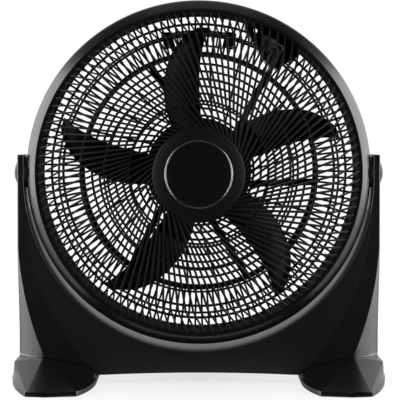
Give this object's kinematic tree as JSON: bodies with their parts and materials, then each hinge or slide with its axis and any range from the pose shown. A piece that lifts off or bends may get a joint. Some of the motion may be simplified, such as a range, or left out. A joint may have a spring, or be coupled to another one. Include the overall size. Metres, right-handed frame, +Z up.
{
  "type": "drum floor fan",
  "caption": "Round floor fan: a black drum with a domed swirl-rib front grille and rear grille tilts in a U-shaped stand on two shoe feet.",
  "frame": {"origin": "on the floor, under the tilt axis, midway between the two feet", "axes": "-Y is where the air comes out, the front of the fan; +Z is up; +X is the right-hand side as seen from the front"},
  "size_m": [0.58, 0.23, 0.5919],
  "materials": {
    "body_plastic": "moulded black plastic, fine satin texture",
    "badge_plastic": "smooth dark plastic",
    "trim_ring": "bright brushed silver",
    "pad_rubber": "matt rubber",
    "washer_fibre": "dense friction washer",
    "steel": "zinc plated",
    "ground_steel": "ground",
    "laminations": "stacked laminations",
    "alloy": "die cast",
    "dial_metal": "printed silver plate",
    "brass": "turned",
    "winding": "enamelled copper wire",
    "switch_plastic": "grey moulded plastic",
    "capacitor_plastic": "light grey case",
    "lead_sleeve": "grey insulation"
  },
  "bodies": {
    "stand": {"stand_panel": "body_plastic", "left_foot": "body_plastic", "right_foot": "body_plastic", "foot_pads": "pad_rubber", "foot_screws": "steel", "friction_washers": "washer_fibre", "pivot_bolts": "steel", "left_pivot_cap": "body_plastic", "right_pivot_cap": "body_plastic"},
    "drum": {"drum_shell": "body_plastic", "pivot_inserts": "brass", "front_grille": "body_plastic", "hub_badge": "badge_plastic", "badge_ring": "trim_ring", "rim_clips": "body_plastic", "rear_grille": "body_plastic", "rear_screws": "steel", "carry_handle": "body_plastic", "handle_screws": "steel", "control_box": "body_plastic", "dial_plate": "dial_metal", "box_screws": "steel", "rotary_switch": "switch_plastic", "switch_nut": "steel", "cord_gland": "pad_rubber", "switch_leads": "lead_sleeve", "motor_leads": "lead_sleeve", "channel_cover": "body_plastic", "motor_stator": "laminations", "stator_windings": "winding", "front_shield": "alloy", "rear_shield": "alloy", "front_bearing": "brass", "rear_bearing": "brass", "motor_bolts": "steel", "motor_screws": "steel", "run_capacitor": "capacitor_plastic", "capacitor_clip": "steel", "motor_cap": "body_plastic"},
    "rotor": {"blade_wheel": "body_plastic", "rotor_core": "laminations", "motor_shaft": "ground_steel", "drive_pin": "ground_steel", "spinner_nut": "body_plastic"},
    "knob": {"speed_knob": "body_plastic", "switch_spindle": "ground_steel"}
  },
  "joints": [
    {"name": "tilt", "type": "hinge", "parent": "stand", "child": "drum", "pos_m": [0, 0, 0.324], "axis": [-1, 0, 0], "range_deg": [-30, 90]},
    {"name": "wheel_spin", "type": "hinge", "parent": "drum", "child": "rotor", "pos_m": [0, 0, 0.324], "axis": [0, -1, 0], "continuous": true},
    {"name": "speed_knob_turn", "type": "hinge", "parent": "drum", "child": "knob", "pos_m": [0.11442, 0.088, 0.53041], "axis": [0, -1, 0], "range_deg": [0, 135]}
  ]
}
